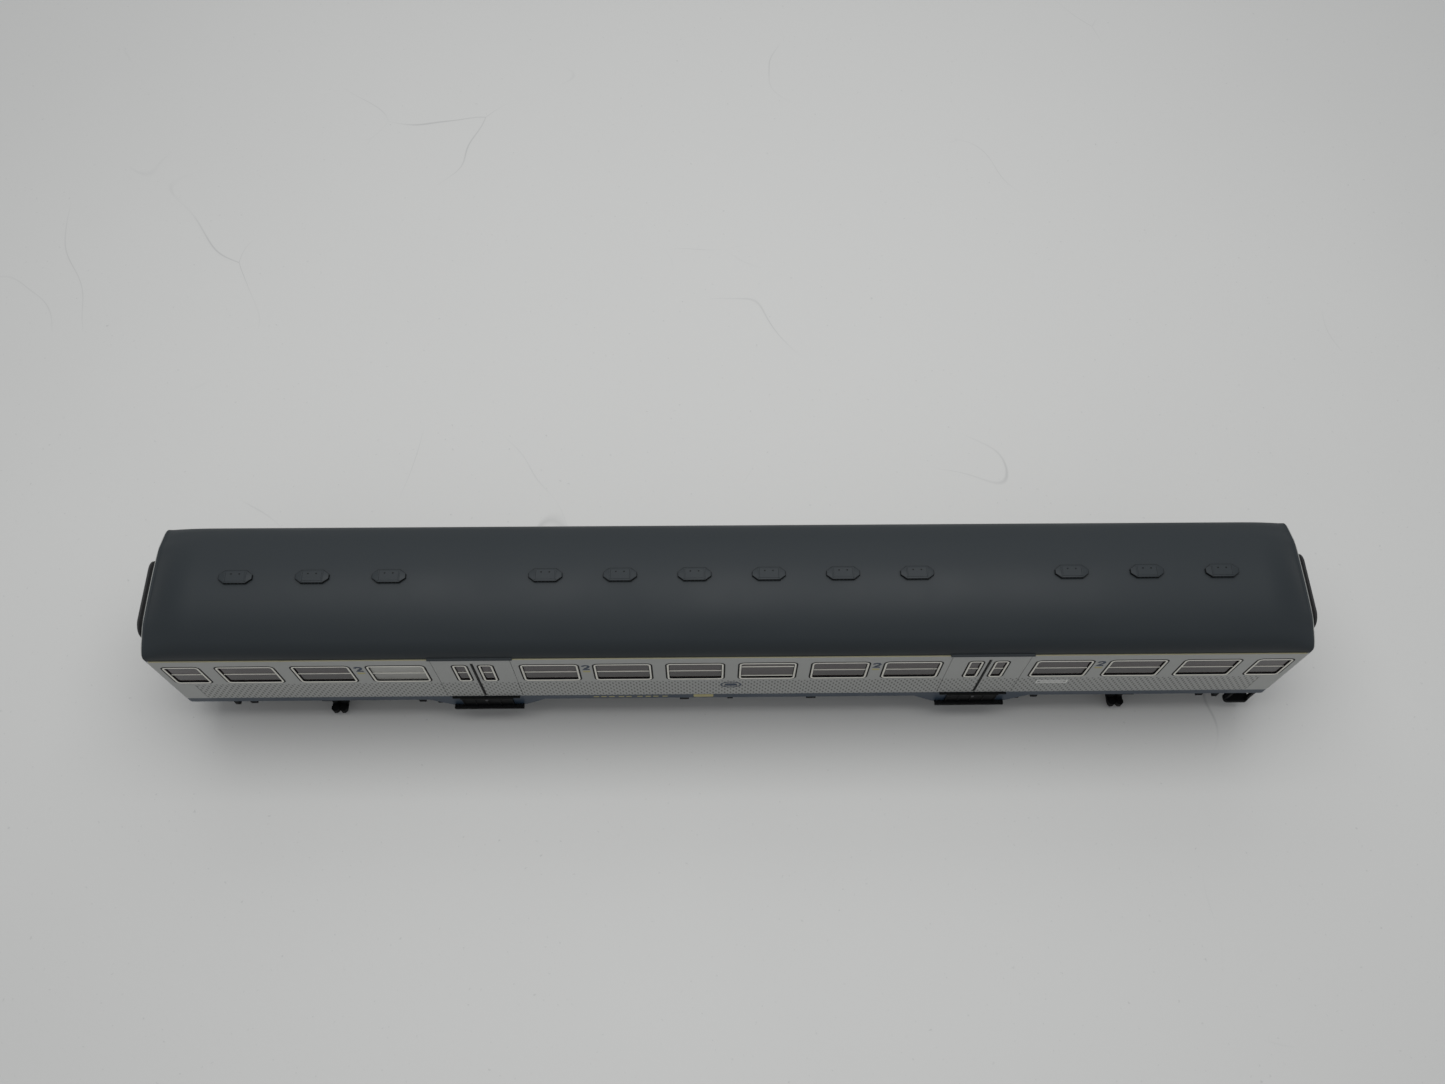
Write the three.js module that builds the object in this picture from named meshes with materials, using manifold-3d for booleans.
// Model passenger coach, 1:87 in width and height and 1:100 in length, as an assembly of separate parts.
// Millimetres. +X runs along the coach, +Y across it, +Z up. The origin is on the surface that the wheel
// flanges stand on, below the middle of the coach. End A is at -X and end B at +X.
import * as THREE from "three";
import { mergeVertices } from "three/addons/utils/BufferGeometryUtils.js";
import Module from "manifold-3d";

const wasm = await Module();
wasm.setup();

// ---- Clearances -------------------------------------------------------------------------------------
const SEAT_GAP = 0.05; // between two parts that are seated on each other
const FIT_GAP = 0.12; // all round a panel or pane in its opening
const RUN_GAP = 0.08; // radial, a shaft in its bore

// ---- Running gear -----------------------------------------------------------------------------------
const TREAD_RADIUS = 5.5;
const FLANGE_HEIGHT = 1.2;
const FLANGE_WIDTH = 0.9;
const WHEEL_WIDTH = 2.8; // tread and flange together
const BACK_TO_BACK = 14.3; // between the inner faces of a wheel pair
const WHEEL_SEGMENTS = 18;
const HUB_RADIUS = 2.1;
const WEB_SETBACK = 0.7; // how far the web lies inside each face of the wheel
const RIM_DEPTH = 1.1; // radial, tread to web
const AXLE_RADIUS = 1.0;
const AXLE_TIP = 0.9; // length of each conical tip
const WHEELBASE = 28.7;
const FLANGE_RADIUS = TREAD_RADIUS + FLANGE_HEIGHT;
const AXLE_Z = FLANGE_RADIUS * Math.cos(Math.PI / WHEEL_SEGMENTS); // the flange stands on a facet

// ---- Body layout along X: bays of windows, doors and ends -------------------------------------------
const GROUP_BAYS = 3; // windows from the coach's middle to a door, and again from the door to the end bay
const MIDDLE_BAY = 16.4; // window pitch between the doors
const OUTER_BAY = 16.75; // window pitch outside the doors
const DOOR_BAY = 17.7;
const END_BAY = 12.15;
const BODY_WIDTH = 32.5;
const SIDE_WALL = 1.2;
const END_WALL = 1.3;
const CORNER_RADIUS = 0.9;
const DOOR_START = GROUP_BAYS * MIDDLE_BAY;
const OUTER_START = DOOR_START + DOOR_BAY;
const OUTER_END = OUTER_START + GROUP_BAYS * OUTER_BAY;
const BODY_HALF = OUTER_END + END_BAY;
const DOOR_X = (DOOR_START + OUTER_START) / 2;
const HALF_WIDTH = BODY_WIDTH / 2;

// ---- Heights ----------------------------------------------------------------------------------------
const FLOOR_THICKNESS = 1.0;
const SIDE_BOTTOM = 15.2; // lower edge of the silver side wall
const SOLE_BAR_DEPTH = 2.6;
const SIDE_HEIGHT = 23.5; // side wall, from its lower edge to the gutter
const ROOF_RISE = 9.1;
const GUTTER_Z = SIDE_BOTTOM + SIDE_HEIGHT;
const ROOF_TOP = GUTTER_Z + ROOF_RISE;
const SOLE_BAR_Z = SIDE_BOTTOM - SOLE_BAR_DEPTH;
const FLOOR_TOP = SIDE_BOTTOM - SEAT_GAP;
const FLOOR_BOTTOM = FLOOR_TOP - FLOOR_THICKNESS;

// ---- Windows ----------------------------------------------------------------------------------------
const WINDOW_WIDTH = 12.8;
const WINDOW_HEIGHT = 10.0;
const WINDOW_RADIUS = 1.3;
const END_WINDOW_WIDTH = 8.0;
const END_WINDOW_INSET = 6.4; // body end to the middle of the end window
const DOOR_WINDOW_WIDTH = 3.1;
const DOOR_WINDOW_RADIUS = 0.9;
const DOOR_LEAF_OFFSET = 2.9; // door seam to the middle of each leaf's window
const WINDOW_SILL = 10.4; // above the lower edge of the side wall
const WINDOW_Z = SIDE_BOTTOM + WINDOW_SILL + WINDOW_HEIGHT / 2;
const PANE_SHEET = 0.6; // the strip that joins the panes behind the wall
const PANE_RECESS = 0.12; // panes lie this far inside the wall's face

// ---- Roof -------------------------------------------------------------------------------------------
const ROOF_LEDGE = 0.3; // the side wall's top edge stands this far outside the roof
const ROOF_THICKNESS = 1.2;
const ROOF_STRAIGHT = 0.4; // upright edge above the gutter
const SHOULDER_RADIUS = 5.6;
const END_SLOPE = 11; // length over which the roof falls towards each end
const END_DROP = 4.35; // how far the crown lies lower at the end wall
const END_SHOULDER_RADIUS = 3.9;
const GABLE_LIP = 0.6; // the end wall's arched top, which the roof butts against
const RIB_DEPTH = 2.2;
const VENT_LENGTH = 7.5;
const VENT_WIDTH = 3.2;
const VENT_HOOD_LENGTH = 4.6;
const VENT_HOOD_WIDTH = 2.6;
const VENT_HOOD_HEIGHT = 0.8;
const VENT_BASE_HEIGHT = 0.25;
const DRIP_RAIL_LENGTH = 19;
const DRIP_RAIL_HEIGHT = 0.5;
const DRIP_RAIL_OUT = 0.25; // beyond the side wall

// ---- Underframe and its equipment -------------------------------------------------------------------
const SOLE_BAR_THICKNESS = 1.2;
const SKIN_INSET = 0.05; // the sole bar's face lies inside the side wall's face
const DROP_DEPTH = 3.8; // how far the sole bar reaches down at each door
const DROP_BOTTOM_LENGTH = 17.6;
const DROP_TOP_LENGTH = 27.6;
const BEAM_DEPTH = 3.7; // buffer beam
const BEAM_THICKNESS = 1.5;
const BEAM_WIDTH = BODY_WIDTH - 5.5;
const PIVOT_INSET = 33.3; // body end to bogie pivot
const BOSS_RADIUS = 3.2;
const BOSS_DEPTH = 1.1;
const SCREW_RADIUS = 1.2;
const SCREW_HEAD_RADIUS = 2.3;
const SCREW_HEAD_HEIGHT = 1.1;
const PIVOT_X = BODY_HALF - PIVOT_INSET;
const FLOOR_HALF_WIDTH = HALF_WIDTH - SKIN_INSET - SOLE_BAR_THICKNESS;

// ---- Bogies -----------------------------------------------------------------------------------------
const FRAME_Y = 11.0; // inner face of a side frame
const FRAME_THICKNESS = 1.9;
const FRAME_END_GAP = 0.55; // flange to end beam
const END_BEAM = 1.2;
const BOLSTER_HALF = 3.2;
const BOLSTER_TOP = FLOOR_BOTTOM - BOSS_DEPTH - SEAT_GAP;
const BOLSTER_DEPTH = 3.2;
const SPRING_REACH = HALF_WIDTH - 0.35; // outer face of the secondary spring cups
const SPRING_TOP = SOLE_BAR_Z - 0.4; // clears the sole bar when the bogie swivels
const SPRING_RADIUS = 0.95;
const SPRING_Y = 12.95; // the springs stand well inside the cups of their seat
const SPRING_SEAT_Z = 2.8;
const AXLE_BOX_REACH = 13.6;
const HORN_LENGTH = 2.6; // side frame beyond the end beam
const GUARD_Z = 3.4;
const FRAME_HALF = WHEELBASE / 2 + FLANGE_RADIUS + FRAME_END_GAP + END_BEAM;

// ---- Couplers and buffers ---------------------------------------------------------------------------
const BUFFER_REACH = 3.3; // beyond the body end
const BUFFER_SPACING = 20.1;
const BUFFER_Z = 13.4;
const BUFFER_HEAD_RADIUS = 2.7;
const BUFFER_SHANK_RADIUS = 1.1;
const BUFFER_HEAD = 0.7;
const COUPLER_Z = 9.0; // middle of the pocket
const POCKET_LENGTH = 4.5;
const POCKET_WALL = 0.8;
const SHANK_WIDTH = 3.0;
const SHANK_HEIGHT = 1.5;
const PEG_RADIUS = 0.8;
const PEG_OUT = 2.0; // end beam to peg
const HEAD_LENGTH = 4.6;
const HEAD_WIDTH = 6.0;
const HEAD_TOP = 1.0; // above the pocket's middle
const HEAD_BOTTOM = 2.6; // below the pocket's middle
const BAIL_Z = COUPLER_Z - 1.4;
const BAIL_WIRE = 0.8;
const BAIL_OUT = 6.2; // bail's outer edge, beyond the buffers
const BAIL_PIN_RADIUS = 0.4;

// ---- Ends -------------------------------------------------------------------------------------------
const BELLOWS_WIDTH = 18.6;
const BELLOWS_TUBE = 2.6;
const BELLOWS_OUT = 3.0;
const BELLOWS_TOP = 39.7;
const BELLOWS_RADIUS = 3.2;
const END_DOOR_WIDTH = 8.6;
const END_DOOR_TOP = 36.4;
const LAMP_RADIUS = 0.95;
const LAMP_Y = 12.4;
const LAMP_Z = 22.6;

// ---- Inside -----------------------------------------------------------------------------------------
const BALLAST_LENGTH = 140;
const BALLAST_WIDTH = 23;
const BALLAST_THICKNESS = 1.2;
const SEAT_PAN = 0.8;
const SEAT_HEIGHT = 5.4;
const SEAT_BACK_HEIGHT = 11.5;
const SEAT_DEPTH = 5.0;
const SEAT_BACK = 1.5;
const AISLE = 6.4;

// ---- Materials --------------------------------------------------------------------------------------
function material(color, roughness, metalness = 0) {
  return new THREE.MeshStandardMaterial({ color, roughness, metalness });
}
const silver = material("#a9aaa8", 0.45);
const roofGrey = material("#3c4144", 0.6);
const soleBlue = material("#3f566b", 0.5);
const black = material("#17181a", 0.5);
const rubber = material("#141617", 0.75);
const clear = material("#8c8285", 0.12);
const seatBrown = material("#6b4a45", 0.7);
const steel = material("#8d8f92", 0.35, 1);
const darkSteel = material("#3a3b3d", 0.4, 1);
const lampRed = material("#8c1a16", 0.25);

// ---- Solids -----------------------------------------------------------------------------------------
function solid(geometry) {
  const bare = geometry.index ? geometry.toNonIndexed() : geometry;
  bare.deleteAttribute("normal");
  bare.deleteAttribute("uv");
  const merged = mergeVertices(bare, 1e-4);
  const make = (triVerts) =>
    new wasm.Manifold(
      new wasm.Mesh({ numProp: 3, vertProperties: merged.attributes.position.array, triVerts }),
    );
  const made = make(new Uint32Array(merged.index.array));
  return made.volume() < 0 ? make(new Uint32Array(merged.index.array).reverse()) : made;
}

function join(first, ...rest) {
  return rest.reduce((whole, piece) => whole.add(piece), first);
}

function cut(whole, ...tools) {
  return tools.reduce((left, tool) => left.subtract(tool), whole);
}

function box(x0, x1, y0, y1, z0, z1) {
  const made = new THREE.BoxGeometry(x1 - x0, y1 - y0, z1 - z0);
  return solid(made.translate((x0 + x1) / 2, (y0 + y1) / 2, (z0 + z1) / 2));
}

// Points of a circular arc, both ends included, with angles in radians.
function arc(x, y, radius, from, to, steps) {
  return Array.from({ length: steps + 1 }, (_, i) => {
    const angle = from + ((to - from) * i) / steps;
    return new THREE.Vector2(x + radius * Math.cos(angle), y + radius * Math.sin(angle));
  });
}

function roundedRect(x, y, width, height, radius, steps = 2) {
  const dx = width / 2 - radius;
  const dy = height / 2 - radius;
  const quarter = Math.PI / 2;
  const corners = [
    [1, 1],
    [-1, 1],
    [-1, -1],
    [1, -1],
  ];
  return new THREE.Shape(
    corners.flatMap(([sx, sy], i) =>
      arc(x + sx * dx, y + sy * dy, radius, i * quarter, (i + 1) * quarter, steps),
    ),
  );
}

function polygon(...points) {
  return new THREE.Shape(points.map(([x, y]) => new THREE.Vector2(x, y)));
}

function extrudeZ(shape, z0, z1) {
  const made = new THREE.ExtrudeGeometry(shape, { depth: z1 - z0, bevelEnabled: false });
  return solid(made.translate(0, 0, z0));
}

// The shape's own axes are the coach's Y and Z.
function extrudeX(shape, x0, x1) {
  const made = new THREE.ExtrudeGeometry(shape, { depth: x1 - x0, bevelEnabled: false });
  const turn = new THREE.Matrix4().makeBasis(
    new THREE.Vector3(0, 1, 0),
    new THREE.Vector3(0, 0, 1),
    new THREE.Vector3(1, 0, 0),
  );
  return solid(made.applyMatrix4(turn).translate(x0, 0, 0));
}

// The shape's own axes are the coach's X and Z.
function extrudeY(shape, y0, y1) {
  const made = new THREE.ExtrudeGeometry(shape, { depth: y1 - y0, bevelEnabled: false });
  const turn = new THREE.Matrix4().makeBasis(
    new THREE.Vector3(1, 0, 0),
    new THREE.Vector3(0, 0, 1),
    new THREE.Vector3(0, -1, 0),
  );
  return solid(made.applyMatrix4(turn).translate(0, y1, 0));
}

// Skins a row of stations, each an X and an outline of as many points in the coach's Y and Z.
function loftX(stations) {
  const count = stations[0].points.length;
  const last = (stations.length - 1) * count;
  const index = [];
  for (let row = 0; row < last; row += count) {
    for (let i = 0; i < count; i++) {
      const a = row + i;
      const b = row + ((i + 1) % count);
      index.push(a, b, b + count, a, b + count, a + count);
    }
  }
  for (const [a, b, c] of THREE.ShapeUtils.triangulateShape(stations[0].points, [])) {
    index.push(a, c, b, last + a, last + b, last + c);
  }
  const places = stations.flatMap(({ x, points }) => points.flatMap((p) => [x, p.x, p.y]));
  const made = new THREE.BufferGeometry();
  made.setAttribute("position", new THREE.Float32BufferAttribute(places, 3));
  made.setIndex(index);
  return solid(made);
}

// A turned solid about the Y axis from points of [radius, y]. A flat lies at the bottom.
function turned(points, segments) {
  const profile = points.map(([r, y]) => new THREE.Vector2(r, y));
  return solid(new THREE.LatheGeometry(profile, segments, Math.PI / segments));
}

function turnedZ(points, segments) {
  return turned(points, segments).rotate([90, 0, 0]);
}

function turnedX(points, segments) {
  return turned(points, segments).rotate([0, 0, -90]);
}

function cylinder(radius, from, to, segments) {
  return [
    [0, from],
    [radius, from],
    [radius, to],
    [0, to],
  ];
}

function geometryOf(made) {
  const mesh = made.getMesh();
  const position = new Float32Array(mesh.numVert * 3);
  for (let i = 0; i < mesh.numVert; i++) {
    position.set(mesh.vertProperties.subarray(i * mesh.numProp, i * mesh.numProp + 3), i * 3);
  }
  const geometry = new THREE.BufferGeometry();
  geometry.setAttribute("position", new THREE.BufferAttribute(position, 3));
  geometry.setIndex(new THREE.BufferAttribute(mesh.triVerts, 1));
  return geometry;
}

const coach = new THREE.Group();

function part(name, made, finish, parent = coach) {
  const mesh = new THREE.Mesh(geometryOf(made), finish);
  mesh.name = name;
  parent.add(mesh);
  return mesh;
}

// ---- Window places ----------------------------------------------------------------------------------
function bayCentres(start, bay) {
  return Array.from({ length: GROUP_BAYS }, (_, i) => start + (i + 0.5) * bay);
}
const largeWindows = [
  ...bayCentres(0, MIDDLE_BAY),
  ...bayCentres(OUTER_START, OUTER_BAY),
].flatMap((x) => [x, -x]);
const endWindowX = BODY_HALF - END_WINDOW_INSET;
const doors = [DOOR_X, -DOOR_X];

// Every opening in one side wall: its place, width and corner radius.
const openings = [
  ...largeWindows.map((x) => ({ x, width: WINDOW_WIDTH, radius: WINDOW_RADIUS })),
  ...[endWindowX, -endWindowX].map((x) => ({
    x,
    width: END_WINDOW_WIDTH,
    radius: WINDOW_RADIUS,
  })),
  ...doors.flatMap((x) =>
    [DOOR_LEAF_OFFSET, -DOOR_LEAF_OFFSET].map((dx) => ({
      x: x + dx,
      width: DOOR_WINDOW_WIDTH,
      radius: DOOR_WINDOW_RADIUS,
    })),
  ),
];

function windowShape({ x, width, radius }, inset, steps) {
  return roundedRect(
    x,
    WINDOW_Z,
    width - 2 * inset,
    WINDOW_HEIGHT - 2 * inset,
    radius - inset,
    steps,
  );
}

// ---- Roof section: crown arc between two shoulder arcs, with the crown lowered by drop --------------
function roofSection(inset, drop = 0) {
  const half = HALF_WIDTH - ROOF_LEDGE;
  const springZ = GUTTER_Z + ROOF_STRAIGHT;
  const rise = ROOF_TOP - drop - springZ;
  const shoulder =
    SHOULDER_RADIUS - ((SHOULDER_RADIUS - END_SHOULDER_RADIUS) * drop) / END_DROP;
  const shoulderY = half - shoulder;
  const crownRadius = (rise ** 2 + shoulderY ** 2 - shoulder ** 2) / (2 * (rise - shoulder));
  const crownZ = springZ + rise - crownRadius;
  const lean = Math.atan2(springZ - crownZ, shoulderY);
  const r = shoulder - inset;
  return [
    new THREE.Vector2(half - inset, GUTTER_Z + SEAT_GAP),
    ...arc(shoulderY, springZ, r, 0, lean, 5),
    ...arc(0, crownZ, crownRadius - inset, lean, Math.PI - lean, 10).slice(1),
    ...arc(-shoulderY, springZ, r, Math.PI - lean, Math.PI, 5).slice(1),
    new THREE.Vector2(-half + inset, GUTTER_Z + SEAT_GAP),
  ];
}

// Roof sections from end to end: level in the middle, and falling towards both end walls.
function roofStations(inset, past) {
  const end = BODY_HALF - GABLE_LIP - SEAT_GAP;
  const half = [0, 0.4, 0.65, 0.85, 1].map((share) => ({
    x: end - END_SLOPE * (1 - share),
    points: roofSection(inset, END_DROP * share ** 2.5),
  }));
  if (past > 0) half.push({ x: end + past, points: half.at(-1).points });
  const other = half.map(({ x, points }) => ({ x: -x, points })).reverse();
  return [...other, ...half];
}

function planOutline(z0, z1) {
  return extrudeZ(roundedRect(0, 0, 2 * BODY_HALF, BODY_WIDTH, CORNER_RADIUS, 3), z0, z1);
}

// ---- Body shell: side walls, end walls and their arched tops ----------------------------------------
function bodyShell() {
  const inside = BODY_HALF - END_WALL;
  const walls = cut(
    planOutline(SIDE_BOTTOM, GUTTER_Z),
    box(-inside, inside, SIDE_WALL - HALF_WIDTH, HALF_WIDTH - SIDE_WALL, 0, ROOF_TOP),
  );
  const gableShape = roofSection(0, END_DROP);
  gableShape[0].y = GUTTER_Z - GABLE_LIP;
  gableShape.at(-1).y = GUTTER_Z - GABLE_LIP;
  const outline = planOutline(SIDE_BOTTOM, ROOF_TOP + 1);
  const gables = [BODY_HALF - GABLE_LIP, -BODY_HALF].map((x) =>
    extrudeX(new THREE.Shape(gableShape), x, x + GABLE_LIP).intersect(outline),
  );
  const holes = openings.map((opening) =>
    extrudeY(windowShape(opening, 0, 2), -HALF_WIDTH - 1, HALF_WIDTH + 1),
  );
  const endDoors = box(
    -BODY_HALF - 1,
    BODY_HALF + 1,
    -END_DOOR_WIDTH / 2 - FIT_GAP,
    END_DOOR_WIDTH / 2 + FIT_GAP,
    SIDE_BOTTOM - 1,
    END_DOOR_TOP + FIT_GAP,
  );
  return cut(join(walls, ...gables), ...holes, endDoors);
}

// ---- Roof: arched shell with moulded vents, locating ribs and drip rails over the doors -------------
function vent(x) {
  const tip = VENT_LENGTH / 2;
  const side = VENT_WIDTH / 2;
  const chamfer = 1.3;
  const base = extrudeZ(
    polygon(
      [tip, -side / 3],
      [tip, side / 3],
      [tip - chamfer, side],
      [chamfer - tip, side],
      [-tip, side / 3],
      [-tip, -side / 3],
      [chamfer - tip, -side],
      [tip - chamfer, -side],
    ),
    ROOF_TOP - VENT_BASE_HEIGHT,
    ROOF_TOP + VENT_BASE_HEIGHT,
  );
  const half = VENT_HOOD_WIDTH / 2;
  const top = ROOF_TOP + VENT_HOOD_HEIGHT;
  const bevel = 0.3;
  const hood = extrudeX(
    polygon(
      [-half, ROOF_TOP - VENT_BASE_HEIGHT],
      [half, ROOF_TOP - VENT_BASE_HEIGHT],
      [half, top - bevel],
      [half - bevel, top],
      [bevel - half, top],
      [-half, top - bevel],
    ),
    -VENT_HOOD_LENGTH / 2,
    VENT_HOOD_LENGTH / 2,
  );
  return join(base, hood).translate([x, 0, 0]);
}

function roof() {
  const shell = cut(
    loftX(roofStations(0, 0)),
    loftX(roofStations(ROOF_THICKNESS, 1)),
  ).intersect(planOutline(0, 2 * ROOF_TOP));
  const ribOut = HALF_WIDTH - SIDE_WALL - PANE_SHEET - 2 * FIT_GAP;
  const ribEnd = BODY_HALF - END_WALL - 1;
  const shoulder = GUTTER_Z + 2;
  const ribs = [1, -1].map((side) => {
    const rib = polygon(
      [side * (ribOut - ROOF_THICKNESS / 2), GUTTER_Z - RIB_DEPTH],
      [side * ribOut, GUTTER_Z - RIB_DEPTH],
      [side * ribOut, GUTTER_Z + 2 * FIT_GAP],
      [side * (ribOut + ROOF_THICKNESS), GUTTER_Z + 2 * FIT_GAP],
      [side * (ribOut + ROOF_THICKNESS), shoulder],
      [side * (ribOut - ROOF_THICKNESS / 2), shoulder],
    );
    return extrudeX(rib, -ribEnd, ribEnd);
  });
  const rails = doors.flatMap((x) =>
    [1, -1].map((side) => {
      const reach = [HALF_WIDTH - ROOF_LEDGE - ROOF_THICKNESS / 2, HALF_WIDTH + DRIP_RAIL_OUT];
      const [y0, y1] = reach.map((y) => side * y).sort((a, b) => a - b);
      const z = GUTTER_Z + SEAT_GAP;
      const half = DRIP_RAIL_LENGTH / 2;
      return box(x - half, x + half, y0, y1, z, z + DRIP_RAIL_HEIGHT);
    }),
  );
  return join(shell, ...ribs, ...rails, ...largeWindows.map(vent));
}

// ---- Glazing: one strip per side, with a pane standing into each window opening ---------------------
function glazing(side) {
  const outer = HALF_WIDTH - PANE_RECESS;
  const sheetOut = HALF_WIDTH - SIDE_WALL - SEAT_GAP;
  const sheetIn = sheetOut - PANE_SHEET;
  const margin = 1.2;
  const end = BODY_HALF - END_WALL - FIT_GAP;
  const low = WINDOW_Z - WINDOW_HEIGHT / 2 - margin;
  const high = Math.min(WINDOW_Z + WINDOW_HEIGHT / 2 + margin, GUTTER_Z - FIT_GAP);
  const sheet = box(-end, end, sheetIn, sheetOut, low, high);
  const panes = openings.map((opening) =>
    extrudeY(windowShape(opening, FIT_GAP, 1), sheetIn + 0.1, outer),
  );
  return join(sheet, ...panes).rotate([0, 0, side > 0 ? 0 : 180]);
}

// ---- Interior: seat pan with benches back to back, and partitions beside the door lobbies -----------
function interior() {
  const pan = FLOOR_TOP + SEAT_GAP + BALLAST_THICKNESS + SEAT_GAP;
  const top = pan + SEAT_PAN;
  const half = HALF_WIDTH - SIDE_WALL - PANE_SHEET - 3 * FIT_GAP;
  const end = BODY_HALF - END_WALL - 0.5;
  const floor = box(-end, end, -half, half, pan, top);
  const bench = (from, to) => {
    const x = (from + to) / 2;
    const back = SEAT_BACK / 2;
    const shape = polygon(
      [from, top - 0.2],
      [to, top - 0.2],
      [to, top + SEAT_HEIGHT],
      [x + back, top + SEAT_HEIGHT],
      [x + back, top + SEAT_BACK_HEIGHT],
      [x - back, top + SEAT_BACK_HEIGHT],
      [x - back, top + SEAT_HEIGHT],
      [from, top + SEAT_HEIGHT],
    );
    return join(extrudeY(shape, AISLE / 2, half), extrudeY(shape, -half, -AISLE / 2));
  };
  const benchXs = Array.from({ length: 2 * GROUP_BAYS - 1 }, (_, i) => {
    return (i + 1 - GROUP_BAYS) * MIDDLE_BAY;
  });
  for (let i = 1; i < GROUP_BAYS; i++) {
    const x = OUTER_START + i * OUTER_BAY;
    benchXs.push(x, -x);
  }
  const benches = benchXs.map((x) => bench(x - SEAT_DEPTH, x + SEAT_DEPTH));
  const wallTop = GUTTER_Z - RIB_DEPTH - 0.5;
  const partitionXs = [DOOR_START, OUTER_START, OUTER_END].flatMap((x) => [x, -x]);
  const partitions = partitionXs.flatMap((x) =>
    [1, -1].map((side) => {
      const [y0, y1] = [side * (AISLE / 2), side * half].sort((a, b) => a - b);
      return box(x - 0.4, x + 0.4, y0, y1, top - 0.2, wallTop);
    }),
  );
  return join(floor, ...benches, ...partitions);
}

function ballastPlate() {
  const z = FLOOR_TOP + SEAT_GAP;
  const shape = roundedRect(0, 0, BALLAST_LENGTH, BALLAST_WIDTH, 3);
  return extrudeZ(shape, z, z + BALLAST_THICKNESS);
}

// ---- Underframe: floor, sole bars with drops at the doors, buffer beams and pivot bosses ------------
function underframe() {
  const out = HALF_WIDTH - SKIN_INSET;
  const end = BODY_HALF - SKIN_INSET;
  const plan = extrudeZ(
    roundedRect(0, 0, 2 * end, 2 * out, CORNER_RADIUS, 3),
    SOLE_BAR_Z,
    FLOOR_TOP,
  );
  const rim = cut(
    plan,
    box(
      BEAM_THICKNESS - end,
      end - BEAM_THICKNESS,
      -FLOOR_HALF_WIDTH,
      FLOOR_HALF_WIDTH,
      SOLE_BAR_Z - 1,
      FLOOR_BOTTOM,
    ),
  );
  const beamLow = SIDE_BOTTOM - BEAM_DEPTH;
  const beams = [end - BEAM_THICKNESS, -end].map((x) =>
    box(x, x + BEAM_THICKNESS, -BEAM_WIDTH / 2, BEAM_WIDTH / 2, beamLow, FLOOR_TOP),
  );
  const drops = doors.flatMap((x) =>
    [1, -1].map((side) => {
      const shape = polygon(
        [x - DROP_TOP_LENGTH / 2, SOLE_BAR_Z],
        [x - DROP_BOTTOM_LENGTH / 2, SOLE_BAR_Z - DROP_DEPTH],
        [x + DROP_BOTTOM_LENGTH / 2, SOLE_BAR_Z - DROP_DEPTH],
        [x + DROP_TOP_LENGTH / 2, SOLE_BAR_Z],
        [x + DROP_TOP_LENGTH / 2, SOLE_BAR_Z + 0.5],
        [x - DROP_TOP_LENGTH / 2, SOLE_BAR_Z + 0.5],
      );
      const [y0, y1] = [side * FLOOR_HALF_WIDTH, side * out].sort((a, b) => a - b);
      return extrudeY(shape, y0, y1);
    }),
  );
  const bosses = [PIVOT_X, -PIVOT_X].map((x) =>
    turnedZ(cylinder(BOSS_RADIUS, FLOOR_BOTTOM - BOSS_DEPTH, FLOOR_BOTTOM + 0.3), 16).translate([
      x,
      0,
      0,
    ]),
  );
  const holes = [PIVOT_X, -PIVOT_X].map((x) =>
    turnedZ(cylinder(SCREW_RADIUS + RUN_GAP, 0, ROOF_TOP), 16).translate([x, 0, 0]),
  );
  const beamHalf = 1.0;
  const centreEnd = PIVOT_X - WHEELBASE / 2 - FLANGE_RADIUS - 6;
  const centreBeams = [4, -4].map((y) =>
    box(-centreEnd, centreEnd, y - beamHalf / 2, y + beamHalf / 2, FLOOR_BOTTOM - 0.9, FLOOR_TOP),
  );
  return cut(join(rim, ...beams, ...drops, ...bosses, ...centreBeams), ...holes);
}

// ---- Steps ------------------------------------------------------------------------------------------
const STEP_LENGTH = 16.6;
const STEP_DEPTH = 1.2; // lower tread, outside the drop
const STEP_TREAD = 0.8;
const STEP_BACK_LENGTH = 12;
const STEP_BACK = 0.35;

function doorStep() {
  const face = HALF_WIDTH - SKIN_INSET + SEAT_GAP;
  const low = SOLE_BAR_Z - DROP_DEPTH;
  const half = STEP_LENGTH / 2;
  const backHalf = STEP_BACK_LENGTH / 2;
  const lowerTread = box(-half, half, face, face + STEP_DEPTH, low, low + STEP_TREAD);
  const back = box(-backHalf, backHalf, face, face + STEP_BACK, low + 0.1, FLOOR_TOP - 0.3);
  const high = FLOOR_TOP - 0.2;
  const upperTread = box(-half, half, face, face + STEP_DEPTH * 0.6, high - 0.4, high);
  const cheeks = [backHalf - 0.3, -backHalf].map((x) =>
    box(x, x + 0.3, face, face + STEP_DEPTH * 0.5, low + 0.1, FLOOR_TOP - 0.3),
  );
  return join(lowerTread, back, upperTread, ...cheeks);
}

const CORNER_STEP_X = 4.0; // body end to the middle of the corner step
const CORNER_STEP_LENGTH = 6.0;
const CORNER_STEP_DEPTH = 2.3;
const CORNER_STEP_Z = 4.6;
const CORNER_STEP_OUT = HALF_WIDTH - 0.35;

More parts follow.
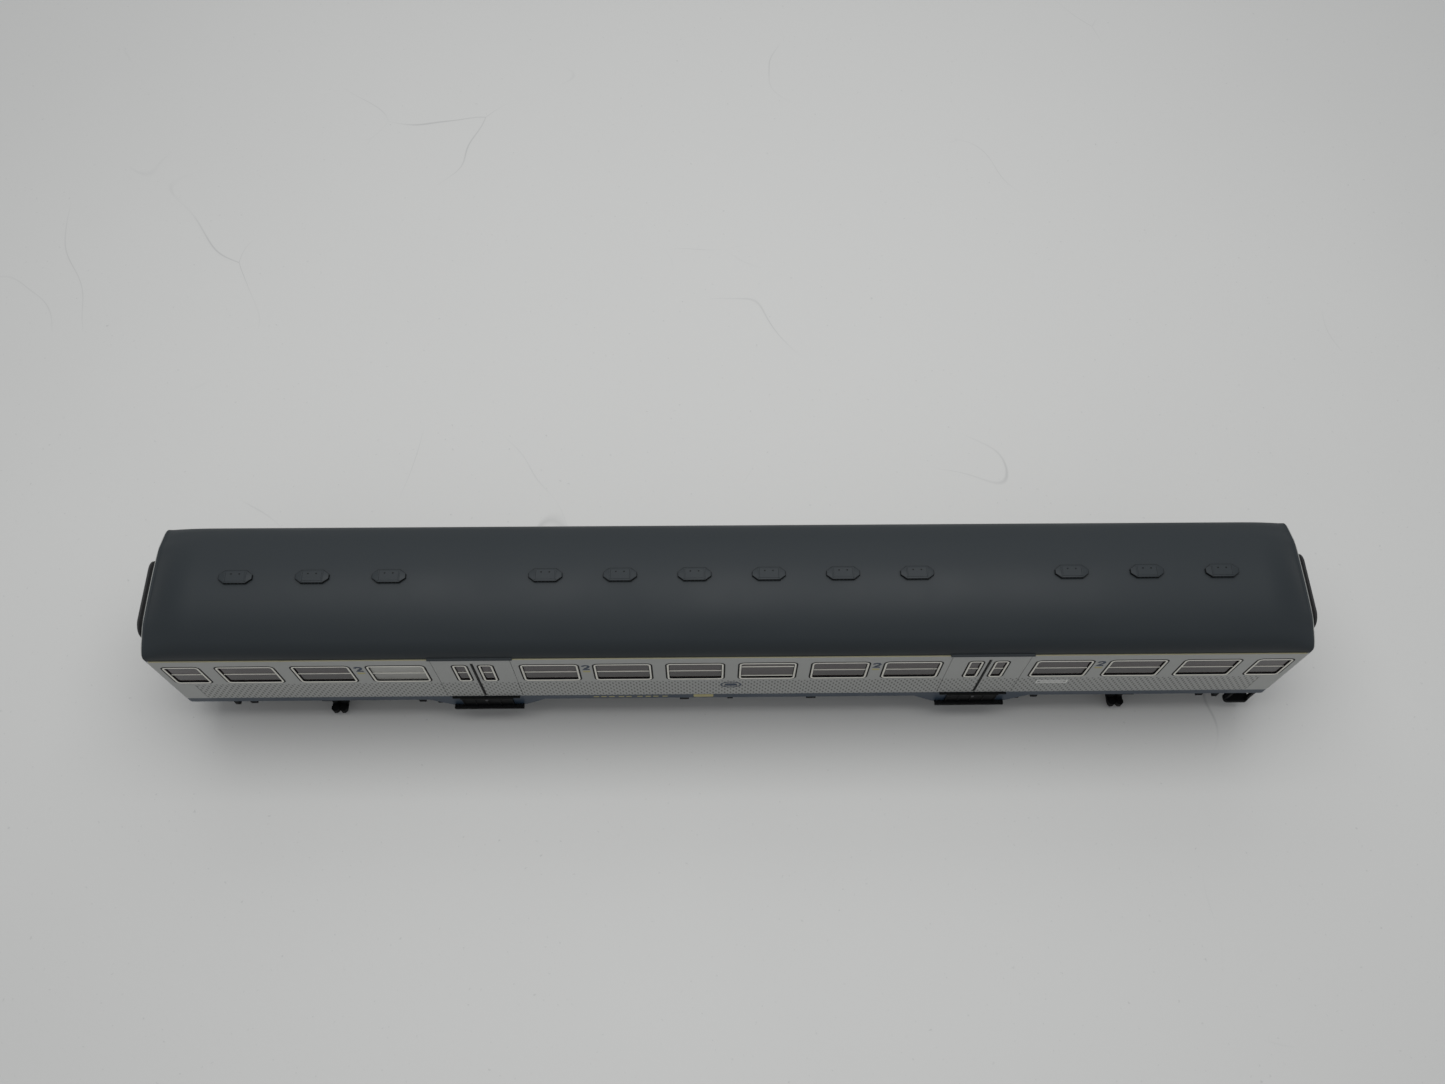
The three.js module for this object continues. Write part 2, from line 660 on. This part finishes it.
function cornerStep() {
  const y1 = CORNER_STEP_OUT;
  const y0 = y1 - CORNER_STEP_DEPTH;
  const half = CORNER_STEP_LENGTH / 2;
  const tread = extrudeZ(
    roundedRect(0, (y0 + y1) / 2, CORNER_STEP_LENGTH, CORNER_STEP_DEPTH, 0.8),
    CORNER_STEP_Z,
    CORNER_STEP_Z + 0.9,
  );
  const hangers = [half - 0.8, -half].map((x) =>
    box(x, x + 0.8, y1 - 1.3, y1 - 0.5, CORNER_STEP_Z + 0.3, SOLE_BAR_Z - SEAT_GAP),
  );
  const flangeTop = SOLE_BAR_Z - SEAT_GAP;
  const flange = box(-half, half, y1 - 1.6, y1 - 0.4, flangeTop - 0.5, flangeTop);
  return join(tread, flange, ...hangers);
}

// ---- Underfloor equipment ---------------------------------------------------------------------------
const BOX_LENGTH = 20;
const BOX_DEPTH = 5.4;
const BOX_HEIGHT = 7.2;
const BOX_OUT = 13.2;
const BOX_X = -26;

function batteryBox() {
  const top = FLOOR_BOTTOM - SEAT_GAP;
  const low = top - BOX_HEIGHT;
  const body = box(-BOX_LENGTH / 2, BOX_LENGTH / 2, BOX_OUT - BOX_DEPTH, BOX_OUT - 0.4, low, top);
  const lids = [-1, 0, 1].map((i) => {
    const x = (i * BOX_LENGTH) / 3;
    const half = BOX_LENGTH / 6 - 0.4;
    return box(x - half, x + half, BOX_OUT - 0.6, BOX_OUT, low + 0.6, top - 0.9);
  });
  return join(body, ...lids);
}

const TANK_RADIUS = 2.5;
const TANK_LENGTH = 17;
const TANK_X = 27;
const TANK_Y = 9.2;

function airTank() {
  const half = TANK_LENGTH / 2;
  const dome = 0.9;
  const tank = turnedX(
    [
      [0, -half],
      [TANK_RADIUS * 0.65, dome * 0.3 - half],
      [TANK_RADIUS, dome - half],
      [TANK_RADIUS, half - dome],
      [TANK_RADIUS * 0.65, half - dome * 0.3],
      [0, half],
    ],
    12,
  );
  const straps = [-half * 0.5, half * 0.5].map((x) =>
    join(
      turnedX(cylinder(TANK_RADIUS + 0.25, x - 0.5, x + 0.5), 12),
      box(x - 0.5, x + 0.5, -1, 1, 0, TANK_RADIUS + 0.6),
    ),
  );
  return join(tank, ...straps).translate([0, 0, FLOOR_BOTTOM - SEAT_GAP - TANK_RADIUS - 0.6]);
}

const CYLINDER_RADIUS = 1.9;

function brakeCylinder() {
  const z = FLOOR_BOTTOM - SEAT_GAP - CYLINDER_RADIUS - 0.5;
  const barrel = turnedX(
    [
      [0, 0],
      [CYLINDER_RADIUS, 0.4],
      [CYLINDER_RADIUS, 6.2],
      [0.8, 6.9],
      [0.5, 7.2],
      [0.5, 12],
      [0, 12],
    ],
    12,
  );
  const foot = box(1.2, 5.2, -1.1, 1.1, 0, CYLINDER_RADIUS + 0.5);
  return join(barrel, foot).translate([0, 0, z]);
}

// Cross lever at the cylinder, with a pull rod to each end of the floor.
const ROD_SIZE = 0.8;

function brakeRigging() {
  const z = FLOOR_BOTTOM - SEAT_GAP - CYLINDER_RADIUS - 0.5;
  const x = 12.6;
  const reach = PIVOT_X - FRAME_HALF - 8;
  const lever = box(x, x + 1.2, -6.4, 6.4, z - ROD_SIZE / 2, z + ROD_SIZE / 2);
  const rods = [
    box(x, reach, 5.4, 5.4 + ROD_SIZE, z - ROD_SIZE / 2, z + ROD_SIZE / 2),
    box(-reach, x + 1, -5.4 - ROD_SIZE, -5.4, z - ROD_SIZE / 2, z + ROD_SIZE / 2),
  ];
  const hangers = [
    box(reach - 1, reach, 5.4, 5.4 + ROD_SIZE, z, FLOOR_BOTTOM - SEAT_GAP),
    box(-reach, 1 - reach, -5.4 - ROD_SIZE, -5.4, z, FLOOR_BOTTOM - SEAT_GAP),
    box(x, x + 1.2, -1.6, 1.6, z, FLOOR_BOTTOM - SEAT_GAP),
  ];
  return join(lever, ...rods, ...hangers);
}

// Pipe behind the sole bar, with three hangers that reach below it.
const PIPE_SIZE = 0.7;
const PIPE_Y = FLOOR_HALF_WIDTH - 1.1;
const PIPE_HALF = 46;
const PIPE_HANGERS = [-11.0, 0, 19.5];

function sidePipe() {
  const top = FLOOR_BOTTOM - SEAT_GAP;
  const pipe = box(-PIPE_HALF, PIPE_HALF, -PIPE_Y - PIPE_SIZE / 2, PIPE_SIZE / 2 - PIPE_Y, top - 1.5, top);
  const hangers = PIPE_HANGERS.map((x) =>
    box(x - 0.7, x + 0.7, -PIPE_Y - 0.9, 0.6 - PIPE_Y, SOLE_BAR_Z - DROP_DEPTH + 0.4, top - 0.4),
  );
  return join(pipe, ...hangers);
}

// ---- Wheelsets --------------------------------------------------------------------------------------
function wheel() {
  const bore = AXLE_RADIUS + RUN_GAP / 2;
  const w = WHEEL_WIDTH;
  const rim = TREAD_RADIUS - RIM_DEPTH;
  return turned(
    [
      [bore, 0],
      [bore, w],
      [HUB_RADIUS, w],
      [HUB_RADIUS, w - WEB_SETBACK],
      [rim, w - WEB_SETBACK],
      [rim, w],
      [TREAD_RADIUS - 0.1, w],
      [TREAD_RADIUS, FLANGE_WIDTH],
      [FLANGE_RADIUS, FLANGE_WIDTH * 0.6],
      [FLANGE_RADIUS, 0.15],
      [FLANGE_RADIUS - 0.3, 0],
      [bore, 0],
    ],
    WHEEL_SEGMENTS,
  ).translate([0, BACK_TO_BACK / 2, 0]);
}

function axle() {
  const half = FRAME_Y + 1.2;
  const spigot = 0.35;
  return turned(
    [
      [0, -half],
      [spigot, -half],
      [AXLE_RADIUS, AXLE_TIP - half],
      [AXLE_RADIUS, half - AXLE_TIP],
      [spigot, half],
      [0, half],
    ],
    12,
  );
}

// ---- Bogie frame. Local origin at the pivot, +X towards the coach's end ------------------------------
function sideFrame() {
  const top = AXLE_Z + 4.6;
  const mid = AXLE_Z + 3.0;
  const low = AXLE_Z + 1.6;
  const hip = WHEELBASE / 2;
  const shape = polygon(
    [-FRAME_HALF, low],
    [-hip - 4, low],
    [-hip - 2.2, low + 1.2],
    [-hip + 4.6, low + 1.2],
    [-5.6, low - 0.8],
    [5.6, low - 0.8],
    [hip - 4.6, low + 1.2],
    [hip + 2.2, low + 1.2],
    [hip + 4, low],
    [FRAME_HALF, low],
    [FRAME_HALF, mid],
    [FRAME_HALF - 2.6, top],
    [hip - 4.6, top],
    [5.8, mid],
    [-5.8, mid],
    [-hip + 4.6, top],
    [2.6 - FRAME_HALF, top],
    [-FRAME_HALF, mid],
  );
  return extrudeY(shape, FRAME_Y, FRAME_Y + FRAME_THICKNESS);
}

function axleBox(x) {
  const springs = [-3.4, 3.4].map((dx) =>
    turnedZ(cylinder(1.05, AXLE_Z - 1.2, AXLE_Z + 3), 6).translate([
      x + dx,
      FRAME_Y + 1.2,
      0,
    ]),
  );
  return join(
    box(x - 2, x + 2, FRAME_Y, AXLE_BOX_REACH - 0.5, AXLE_Z - 2, AXLE_Z + 3.4),
    box(x - 4.7, x + 4.7, FRAME_Y + 0.1, AXLE_BOX_REACH - 0.9, AXLE_Z - 1.9, AXLE_Z - 1),
    turned(cylinder(1.6, FRAME_Y, AXLE_BOX_REACH), 8).translate([x, 0, AXLE_Z]),
    ...springs,
  );
}

function secondarySuspension() {
  const cup = SPRING_REACH - SPRING_RADIUS;
  const pair = (y, low, high) =>
    [SPRING_RADIUS, -SPRING_RADIUS].map((x) =>
      turnedZ(cylinder(SPRING_RADIUS, low, high), 8).translate([x * 1.02, y, 0]),
    );
  const half = 2 * SPRING_RADIUS;
  return join(
    box(-half, half, FRAME_Y + 0.4, cup, SPRING_SEAT_Z - 0.7, SPRING_SEAT_Z + 0.3),
    box(-half - 1.2, half + 1.2, FRAME_Y + 0.4, SPRING_Y - 0.3, SPRING_SEAT_Z, AXLE_Z + 1.4),
    box(-half, half, FRAME_Y + 0.4, SPRING_REACH, SPRING_TOP - 0.9, SPRING_TOP),
    ...pair(cup, SPRING_SEAT_Z - 0.7, SPRING_SEAT_Z + 0.9),
    ...pair(SPRING_Y, SPRING_SEAT_Z, SPRING_TOP - 0.7),
  );
}

// Longitudinal horn beyond the end beam, with its rail guard, and the brake hanger beside the end beam.
function frameHorn(end) {
  const low = AXLE_Z + 1.6;
  const y1 = FRAME_Y + FRAME_THICKNESS;
  const tip = FRAME_HALF + HORN_LENGTH;
  const piece = (x0, x1, y0, z0, z1, reach) => {
    const [a, b] = [end * x0, end * x1].sort((left, right) => left - right);
    return box(a, b, y0, y1 + reach, z0, z1);
  };
  return join(
    piece(FRAME_HALF - 1, tip, FRAME_Y + 0.6, low, low + 1.2, 0),
    piece(tip - 1.2, tip, FRAME_Y + 0.8, GUARD_Z, low + 1.2, 0.9),
    piece(FRAME_HALF - 3, FRAME_HALF - 1.4, FRAME_Y + 0.4, GUARD_Z + 0.8, low + 0.8, 0.9),
  );
}

function bogieFrame() {
  const bearing = AXLE_RADIUS + RUN_GAP;
  const low = AXLE_Z + 1.6;
  const halfSide = [
    sideFrame(),
    axleBox(WHEELBASE / 2),
    axleBox(-WHEELBASE / 2),
    frameHorn(1),
    frameHorn(-1),
    secondarySuspension(),
  ];
  const side = join(...halfSide);
  const endBeams = [FRAME_HALF - END_BEAM, -FRAME_HALF].map((x) =>
    box(x, x + END_BEAM, -FRAME_Y - 0.5, FRAME_Y + 0.5, low, AXLE_Z + 3.0),
  );
  const bolster = box(
    -BOLSTER_HALF,
    BOLSTER_HALF,
    -FRAME_Y - 0.5,
    FRAME_Y + 0.5,
    BOLSTER_TOP - BOLSTER_DEPTH,
    BOLSTER_TOP,
  );
  const shelf = box(
    FRAME_HALF - 0.5,
    FRAME_HALF + PEG_OUT + 1.3,
    -2.2,
    2.2,
    COUPLER_Z - 0.4,
    AXLE_Z + 3.0,
  );
  const peg = turnedZ(cylinder(PEG_RADIUS, COUPLER_Z - 1.7, COUPLER_Z), 10).translate([
    FRAME_HALF + PEG_OUT,
    0,
    0,
  ]);
  const journals = [WHEELBASE / 2, -WHEELBASE / 2].map((x) =>
    turned(cylinder(bearing, -FRAME_Y - 1.35, FRAME_Y + 1.35), 12).translate([x, 0, AXLE_Z]),
  );
  const pivotHole = turnedZ(cylinder(SCREW_RADIUS + RUN_GAP, 0, ROOF_TOP), 16);
  const frame = join(side, side.rotate([0, 0, 180]), ...endBeams, bolster, shelf, peg);
  return cut(frame, ...journals, pivotHole);
}

function pivotScrew() {
  const head = BOLSTER_TOP - BOLSTER_DEPTH - SEAT_GAP;
  return turnedZ(
    [
      [0, head - SCREW_HEAD_HEIGHT],
      [SCREW_HEAD_RADIUS - 0.4, head - SCREW_HEAD_HEIGHT],
      [SCREW_HEAD_RADIUS, head - SCREW_HEAD_HEIGHT + 0.4],
      [SCREW_HEAD_RADIUS, head],
      [SCREW_RADIUS, head],
      [SCREW_RADIUS, FLOOR_TOP],
      [0, FLOOR_TOP],
    ],
    14,
  );
}

// ---- Coupler, in bogie coordinates ------------------------------------------------------------------
const PEG_X = FRAME_HALF + PEG_OUT;
const POCKET_X = PEG_X + 2.1;
const BUFFER_PLANE = PIVOT_INSET + BUFFER_REACH;
const HEAD_FACE = BUFFER_PLANE - 0.5;
const BAIL_X = HEAD_FACE - HEAD_LENGTH + 2.0;

function couplerPocket() {
  const halfWidth = SHANK_WIDTH / 2 + FIT_GAP + POCKET_WALL;
  const halfHeight = SHANK_HEIGHT / 2 + FIT_GAP + POCKET_WALL;
  const block = box(
    POCKET_X,
    POCKET_X + POCKET_LENGTH,
    -halfWidth,
    halfWidth,
    COUPLER_Z - halfHeight,
    COUPLER_Z + halfHeight,
  );
  const socket = box(
    POCKET_X + 0.8,
    POCKET_X + POCKET_LENGTH + 1,
    -SHANK_WIDTH / 2 - FIT_GAP,
    SHANK_WIDTH / 2 + FIT_GAP,
    COUPLER_Z - SHANK_HEIGHT / 2 - FIT_GAP,
    COUPLER_Z + SHANK_HEIGHT / 2 + FIT_GAP,
  );
  const plateTop = COUPLER_Z - 0.4 - SEAT_GAP;
  const plate = box(PEG_X, POCKET_X + 0.4, -1.7, 1.7, COUPLER_Z - halfHeight, plateTop);
  const eye = turnedZ(cylinder(1.7, COUPLER_Z - halfHeight, plateTop), 14).translate([PEG_X, 0, 0]);
  const hole = turnedZ(cylinder(PEG_RADIUS + RUN_GAP, 0, COUPLER_Z), 14).translate([PEG_X, 0, 0]);
  return cut(join(cut(block, socket), plate, eye), hole);
}

function couplerHead() {
  const back = HEAD_FACE - HEAD_LENGTH;
  const low = COUPLER_Z - HEAD_BOTTOM;
  const high = COUPLER_Z + HEAD_TOP;
  const shank = box(
    POCKET_X + 0.8 + FIT_GAP,
    back + 0.5,
    -SHANK_WIDTH / 2,
    SHANK_WIDTH / 2,
    COUPLER_Z - SHANK_HEIGHT / 2,
    COUPLER_Z + SHANK_HEIGHT / 2,
  );
  const block = extrudeY(
    polygon([back, low + 1], [back + 1, low], [HEAD_FACE, low], [HEAD_FACE, high], [back, high]),
    -HEAD_WIDTH / 2,
    HEAD_WIDTH / 2,
  );
  const hook = extrudeY(
    polygon(
      [HEAD_FACE - 0.5, low],
      [HEAD_FACE + 2.8, low],
      [HEAD_FACE + 3.6, low + 0.7],
      [HEAD_FACE + 2.4, low + 2.7],
      [HEAD_FACE + 1.6, low + 2.7],
      [HEAD_FACE + 1.6, low + 1.2],
      [HEAD_FACE - 0.5, low + 1.2],
    ),
    -0.7,
    0.7,
  );
  const pinHole = turned(cylinder(BAIL_PIN_RADIUS + RUN_GAP, -HEAD_WIDTH, HEAD_WIDTH), 10);
  return cut(join(shank, block, hook), pinHole.translate([BAIL_X, 0, BAIL_Z]));
}

function couplerBail() {
  const inner = HEAD_WIDTH / 2 + 0.15;
  const outer = inner + BAIL_WIRE;
  const end = BUFFER_PLANE + BAIL_OUT;
  const half = BAIL_WIRE / 2;
  const back = BAIL_X - 0.6;
  const shape = roundedRect((back + end) / 2, 0, end - back, 2 * outer, 1.4, 3);
  const ring = cut(
    extrudeZ(shape, BAIL_Z - half, BAIL_Z + half),
    box(back - 1, end - BAIL_WIRE, -inner, inner, BAIL_Z - 2, BAIL_Z + 2),
  );
  const pins = [1, -1].map((side) => {
    const [y0, y1] = [side * (inner + 0.3), side * (inner - 0.9)].sort((a, b) => a - b);
    return turned(cylinder(BAIL_PIN_RADIUS, y0, y1), 8).translate([BAIL_X, 0, BAIL_Z]);
  });
  return join(ring, ...pins);
}

// ---- End fittings, in coordinates from the body end, +X outwards ------------------------------------
function buffer() {
  const start = BODY_HALF - SKIN_INSET + SEAT_GAP;
  const face = BODY_HALF + BUFFER_REACH;
  return turnedX(
    [
      [0, start],
      [BUFFER_SHANK_RADIUS + 0.4, start],
      [BUFFER_SHANK_RADIUS + 0.4, start + 1.2],
      [BUFFER_SHANK_RADIUS, start + 1.4],
      [BUFFER_SHANK_RADIUS, face - BUFFER_HEAD],
      [BUFFER_HEAD_RADIUS, face - BUFFER_HEAD],
      [BUFFER_HEAD_RADIUS, face],
      [0, face],
    ],
    14,
  ).translate([0, 0, BUFFER_Z]);
}

function bellows() {
  const start = BODY_HALF + SEAT_GAP;
  const half = BELLOWS_WIDTH / 2;
  const low = BUFFER_Z + BUFFER_HEAD_RADIUS + 0.5;
  const arch = (halfWidth, top, radius) => [
    new THREE.Vector2(halfWidth, low),
    ...arc(halfWidth - radius, top - radius, radius, 0, Math.PI / 2, 4),
    ...arc(radius - halfWidth, top - radius, radius, Math.PI / 2, Math.PI, 4),
    new THREE.Vector2(-halfWidth, low),
  ];
  const outer = arch(half, BELLOWS_TOP, BELLOWS_RADIUS);
  const inner = arch(half - BELLOWS_TUBE, BELLOWS_TOP - BELLOWS_TUBE, BELLOWS_RADIUS * 0.4);
  const shape = new THREE.Shape([...outer, ...inner.reverse()]);
  return extrudeX(shape, start, start + BELLOWS_OUT);
}

function endDoor() {
  const outer = BODY_HALF - 0.25;
  const half = END_DOOR_WIDTH / 2;
  const inner = BODY_HALF - END_WALL + 0.15;
  const panel = box(inner, outer, -half, half, SIDE_BOTTOM, END_DOOR_TOP);
  const windowRecess = extrudeX(
    roundedRect(0, WINDOW_Z - 0.5, END_DOOR_WIDTH * 0.55, WINDOW_HEIGHT, 0.8),
    outer - 0.4,
    outer + 1,
  );
  return cut(panel, windowRecess);
}

function gangwayPlate() {
  const start = BODY_HALF + SEAT_GAP;
  const half = END_DOOR_WIDTH / 2 + 0.8;
  return extrudeY(
    polygon(
      [start, SIDE_BOTTOM + 0.7],
      [start + 2.9, SIDE_BOTTOM + 1.1],
      [start + 2.9, SIDE_BOTTOM + 1.5],
      [start, SIDE_BOTTOM + 1.3],
    ),
    -half,
    half,
  );
}

function tailLamp() {
  const start = BODY_HALF + SEAT_GAP;
  return turnedX(
    [
      [0, start],
      [LAMP_RADIUS, start],
      [LAMP_RADIUS, start + 0.35],
      [LAMP_RADIUS * 0.7, start + 0.6],
      [0, start + 0.65],
    ],
    12,
  );
}

// ---- Assembly ---------------------------------------------------------------------------------------
part("body_shell", bodyShell(), silver);
part("roof", roof(), roofGrey);
part("glazing_front", glazing(-1), clear);
part("glazing_rear", glazing(1), clear);
part("interior", interior(), seatBrown);
part("ballast_plate", ballastPlate(), steel);
part("underframe", underframe(), soleBlue);

for (const [name, x, side] of [
  ["door_step_front_a", -DOOR_X, -1],
  ["door_step_front_b", DOOR_X, -1],
  ["door_step_rear_a", -DOOR_X, 1],
  ["door_step_rear_b", DOOR_X, 1],
]) {
  const step = part(name, doorStep(), black);
  step.position.x = x;
  step.rotation.z = side < 0 ? Math.PI : 0;
}

part("corner_step_rear", cornerStep(), black).position.x = BODY_HALF - CORNER_STEP_X;
const frontCornerStep = part("corner_step_front", cornerStep(), black);
frontCornerStep.position.x = BODY_HALF - CORNER_STEP_X;
frontCornerStep.rotation.z = Math.PI;

part("battery_box_rear", batteryBox(), black).position.x = BOX_X;
const frontBox = part("battery_box_front", batteryBox(), black);
frontBox.position.x = BOX_X;
frontBox.rotation.z = Math.PI;
part("air_tank_front", airTank(), black).position.set(TANK_X, -TANK_Y, 0);
part("air_tank_rear", airTank(), black).position.set(TANK_X, TANK_Y, 0);
part("brake_cylinder", brakeCylinder(), black).position.x = -1;
part("brake_rigging", brakeRigging(), black);
part("side_pipe", sidePipe(), black);

function addBogie(end, group) {
  part(`bogie_frame_${end}`, bogieFrame(), black, group);
  const axles = [
    [1, WHEELBASE / 2],
    [2, -WHEELBASE / 2],
  ];
  for (const [number, x] of axles) {
    const wheelset = new THREE.Group();
    wheelset.position.set(x, 0, AXLE_Z);
    group.add(wheelset);
    part(`axle_${end}${number}`, axle(), darkSteel, wheelset);
    part(`wheel_${end}${number}_l`, wheel(), steel, wheelset);
    part(`wheel_${end}${number}_r`, wheel(), steel, wheelset).rotation.z = Math.PI;
  }
  part(`coupler_pocket_${end}`, couplerPocket(), black, group);
  part(`coupler_head_${end}`, couplerHead(), black, group);
  part(`coupler_bail_${end}`, couplerBail(), darkSteel, group);
  part(`pivot_screw_${end}`, pivotScrew(), steel, group);
}

function addEnd(end, group) {
  part(`gangway_bellows_${end}`, bellows(), rubber, group);
  part(`gangway_door_${end}`, endDoor(), silver, group);
  part(`gangway_plate_${end}`, gangwayPlate(), darkSteel, group);
  for (const [hand, side] of [
    ["l", 1],
    ["r", -1],
  ]) {
    part(`buffer_${end}_${hand}`, buffer(), black, group).position.y = (side * BUFFER_SPACING) / 2;
    part(`tail_lamp_${end}_${hand}`, tailLamp(), lampRed, group).position.set(
      0,
      side * LAMP_Y,
      LAMP_Z,
    );
  }
}

for (const [end, side] of [
  ["a", -1],
  ["b", 1],
]) {
  const bogie = new THREE.Group();
  bogie.position.x = side * PIVOT_X;
  bogie.rotation.z = side < 0 ? Math.PI : 0;
  coach.add(bogie);
  addBogie(end, bogie);
  const fittings = new THREE.Group();
  fittings.rotation.z = side < 0 ? Math.PI : 0;
  coach.add(fittings);
  addEnd(end, fittings);
}

export default coach;
